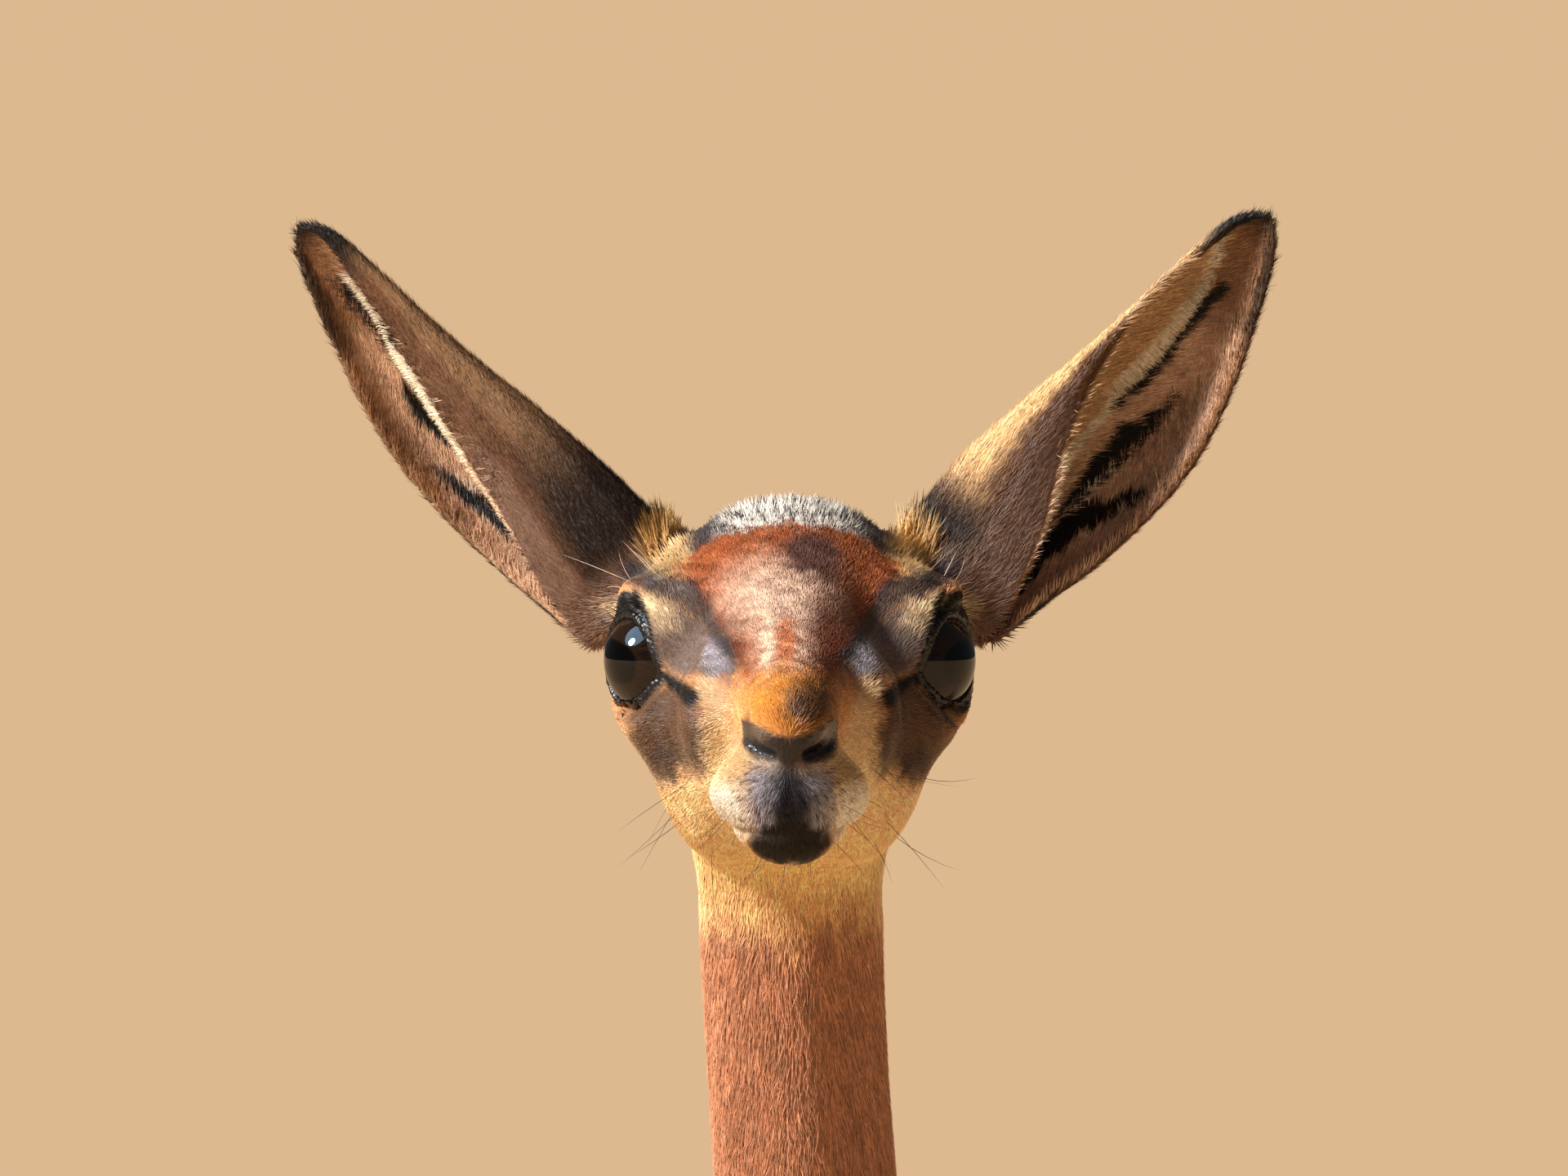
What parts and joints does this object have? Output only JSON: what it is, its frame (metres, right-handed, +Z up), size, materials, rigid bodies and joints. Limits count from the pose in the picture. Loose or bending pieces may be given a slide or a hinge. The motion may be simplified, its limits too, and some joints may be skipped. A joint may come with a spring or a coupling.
{
  "type": "gerenuk",
  "caption": "Life-size still model of a standing gerenuk doe with head up, long slim neck and ears spread in a wide V.",
  "frame": {"origin": "on the floor under the middle of the box about the whole animal", "axes": "+Z up, the animal faces -Y, its left side is +X"},
  "size_m": [0.277, 1.1622, 1.4586],
  "materials": {
    "coat": "short rufous fawn coat",
    "leg_coat": "short fawn coat",
    "ear_coat": "short brown coat, paler inside with dark streaks",
    "dark_hair": "coarse black-brown hair",
    "hoof_horn": "dry dark horn",
    "eyeball": "wet, very dark brown"
  },
  "bodies": {
    "root": {"head": "coat", "neck": "coat", "torso": "coat", "tail": "coat", "tail_tuft": "dark_hair", "ear_left": "ear_coat", "ear_right": "ear_coat", "eye_left": "eyeball", "eye_right": "eyeball", "foreleg_left_upper": "leg_coat", "foreleg_left_lower": "leg_coat", "hoof_fore_left_outer": "hoof_horn", "hoof_fore_left_inner": "hoof_horn", "foreleg_right_upper": "leg_coat", "foreleg_right_lower": "leg_coat", "hoof_fore_right_outer": "hoof_horn", "hoof_fore_right_inner": "hoof_horn", "hindleg_left_upper": "leg_coat", "hindleg_left_lower": "leg_coat", "hoof_hind_left_outer": "hoof_horn", "hoof_hind_left_inner": "hoof_horn", "hindleg_right_upper": "leg_coat", "hindleg_right_lower": "leg_coat", "hoof_hind_right_outer": "hoof_horn", "hoof_hind_right_inner": "hoof_horn"}
  },
  "joints": []
}
